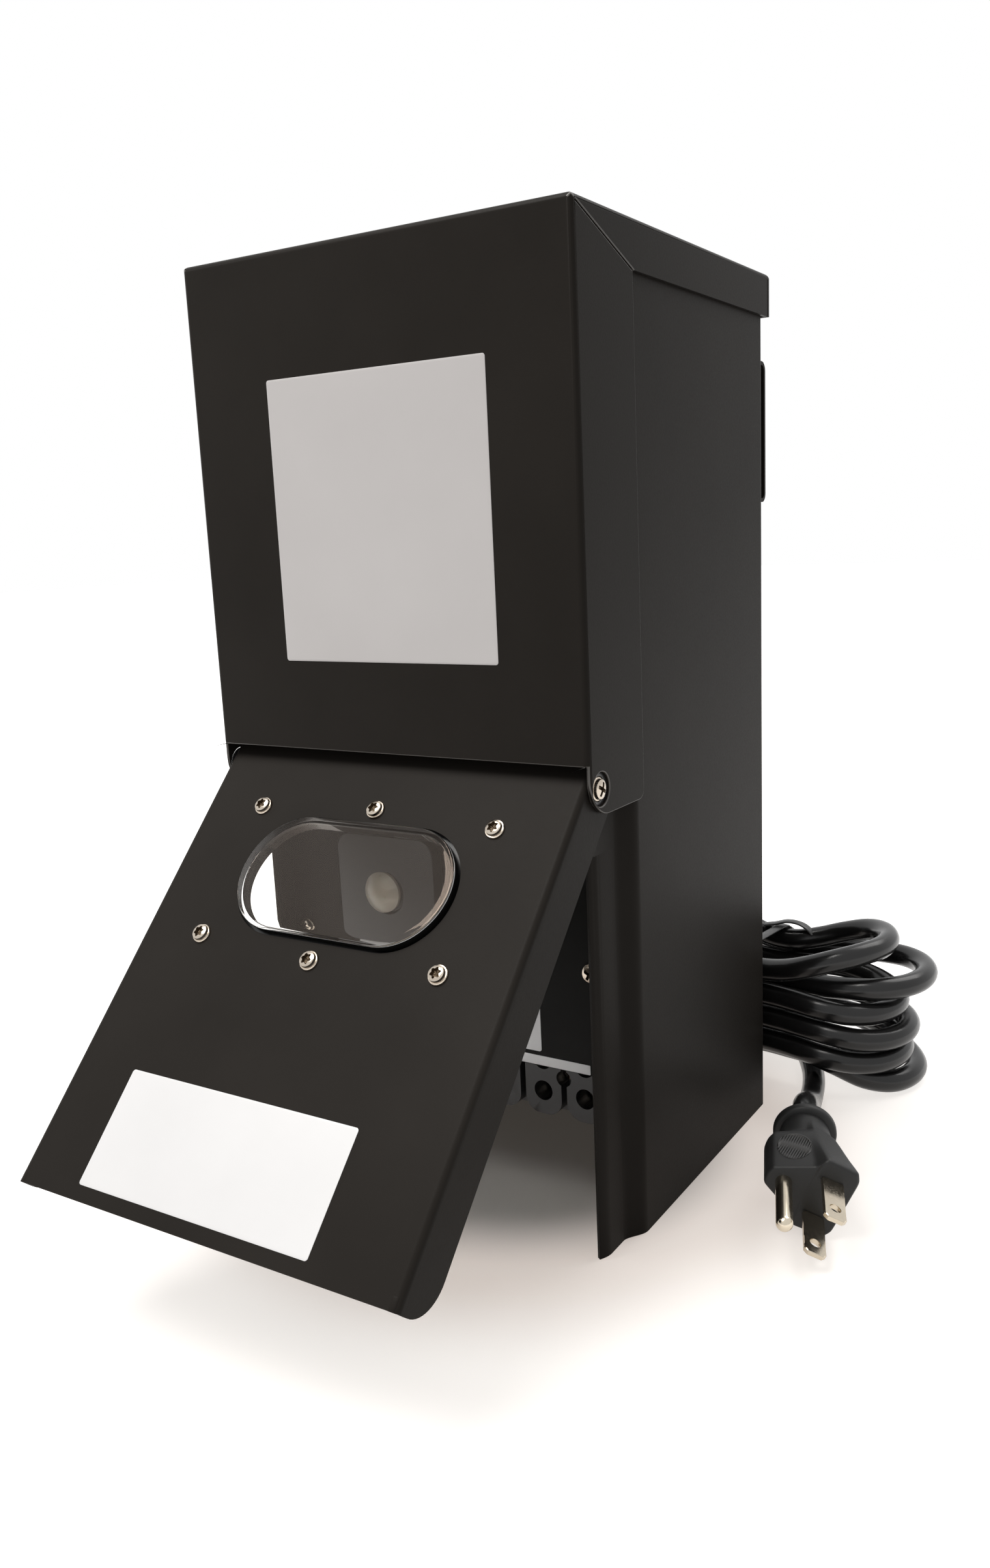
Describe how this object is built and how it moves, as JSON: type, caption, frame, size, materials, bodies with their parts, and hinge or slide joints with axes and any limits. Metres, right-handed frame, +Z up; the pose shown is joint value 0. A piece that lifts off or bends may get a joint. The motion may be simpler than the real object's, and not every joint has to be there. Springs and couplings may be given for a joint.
{
  "type": "low voltage landscape transformer",
  "caption": "Folded sheet metal transformer case with a hood, a hinged door with a window, a terminal block inside, a wall bracket and a bundled mains cord with a plug.",
  "frame": {"origin": "on the floor, in the middle of the width and depth of the case with its door standing open, without the cord", "axes": "+X to the right seen from the front, +Y towards the wall behind the case, +Z up"},
  "size_m": [0.1835, 0.2795, 0.28],
  "materials": {
    "powder_coat": "satin black powder coat",
    "dark_sheet": "satin black paint",
    "screw_steel": "polished stainless steel",
    "brass_insert": "bright",
    "black_plastic": "matt",
    "red_button": "gloss",
    "sensor_dome": "translucent",
    "clear_pane": "clear, gloss",
    "gasket_rubber": "matt",
    "nylon": "natural",
    "core_steel": "varnished laminations",
    "copper_wire": "enamelled copper",
    "lead_black": "gloss",
    "lead_red": "gloss",
    "cord_black": "satin vinyl",
    "tie_black": "matt",
    "prong_brass": "nickel-plated brass"
  },
  "bodies": {
    "case": {"case_shell": "powder_coat", "hood": "powder_coat", "hood_screws": "screw_steel", "wall_bracket": "powder_coat", "bracket_rivets": "dark_sheet", "inner_panel": "dark_sheet", "panel_screws": "screw_steel", "panel_nuts": "screw_steel", "wiring_floor": "dark_sheet", "terminal_bracket": "dark_sheet", "terminal_block": "black_plastic", "terminal_inserts": "brass_insert", "terminal_screws": "screw_steel", "terminal_mount_screws": "screw_steel", "sensor_housing": "black_plastic", "sensor_nut": "black_plastic", "sensor_lens": "sensor_dome", "breaker_body": "black_plastic", "breaker_nut": "screw_steel", "core": "core_steel", "bobbin": "nylon", "primary_winding": "copper_wire", "secondary_winding": "copper_wire", "core_bolts": "screw_steel", "core_nuts": "screw_steel", "mains_leads": "lead_black", "low_voltage_leads": "lead_red", "hinge_screws": "screw_steel", "hinge_nuts": "screw_steel", "hinge_spacers": "nylon", "strain_relief": "cord_black", "cord_lead_in": "cord_black", "cord_hank": "cord_black", "cord_lead_out": "cord_black", "cord_tie": "tie_black", "plug_body": "cord_black", "plug_blades": "prong_brass", "ground_pin": "prong_brass"},
    "door": {"door_panel": "powder_coat", "window_lens": "clear_pane", "window_gasket": "gasket_rubber", "window_screws": "screw_steel", "window_nuts": "screw_steel"},
    "button": {"breaker_button": "red_button"}
  },
  "joints": [
    {"name": "door_hinge", "type": "hinge", "parent": "case", "child": "door", "pos_m": [0, -0.01696, 0.1376], "axis": [-1, 0, 0], "range_deg": [-43, 57]},
    {"name": "reset_button", "type": "slide", "parent": "case", "child": "button", "axis": [0, -1, 0], "range_m": [0, 0.003]}
  ]
}
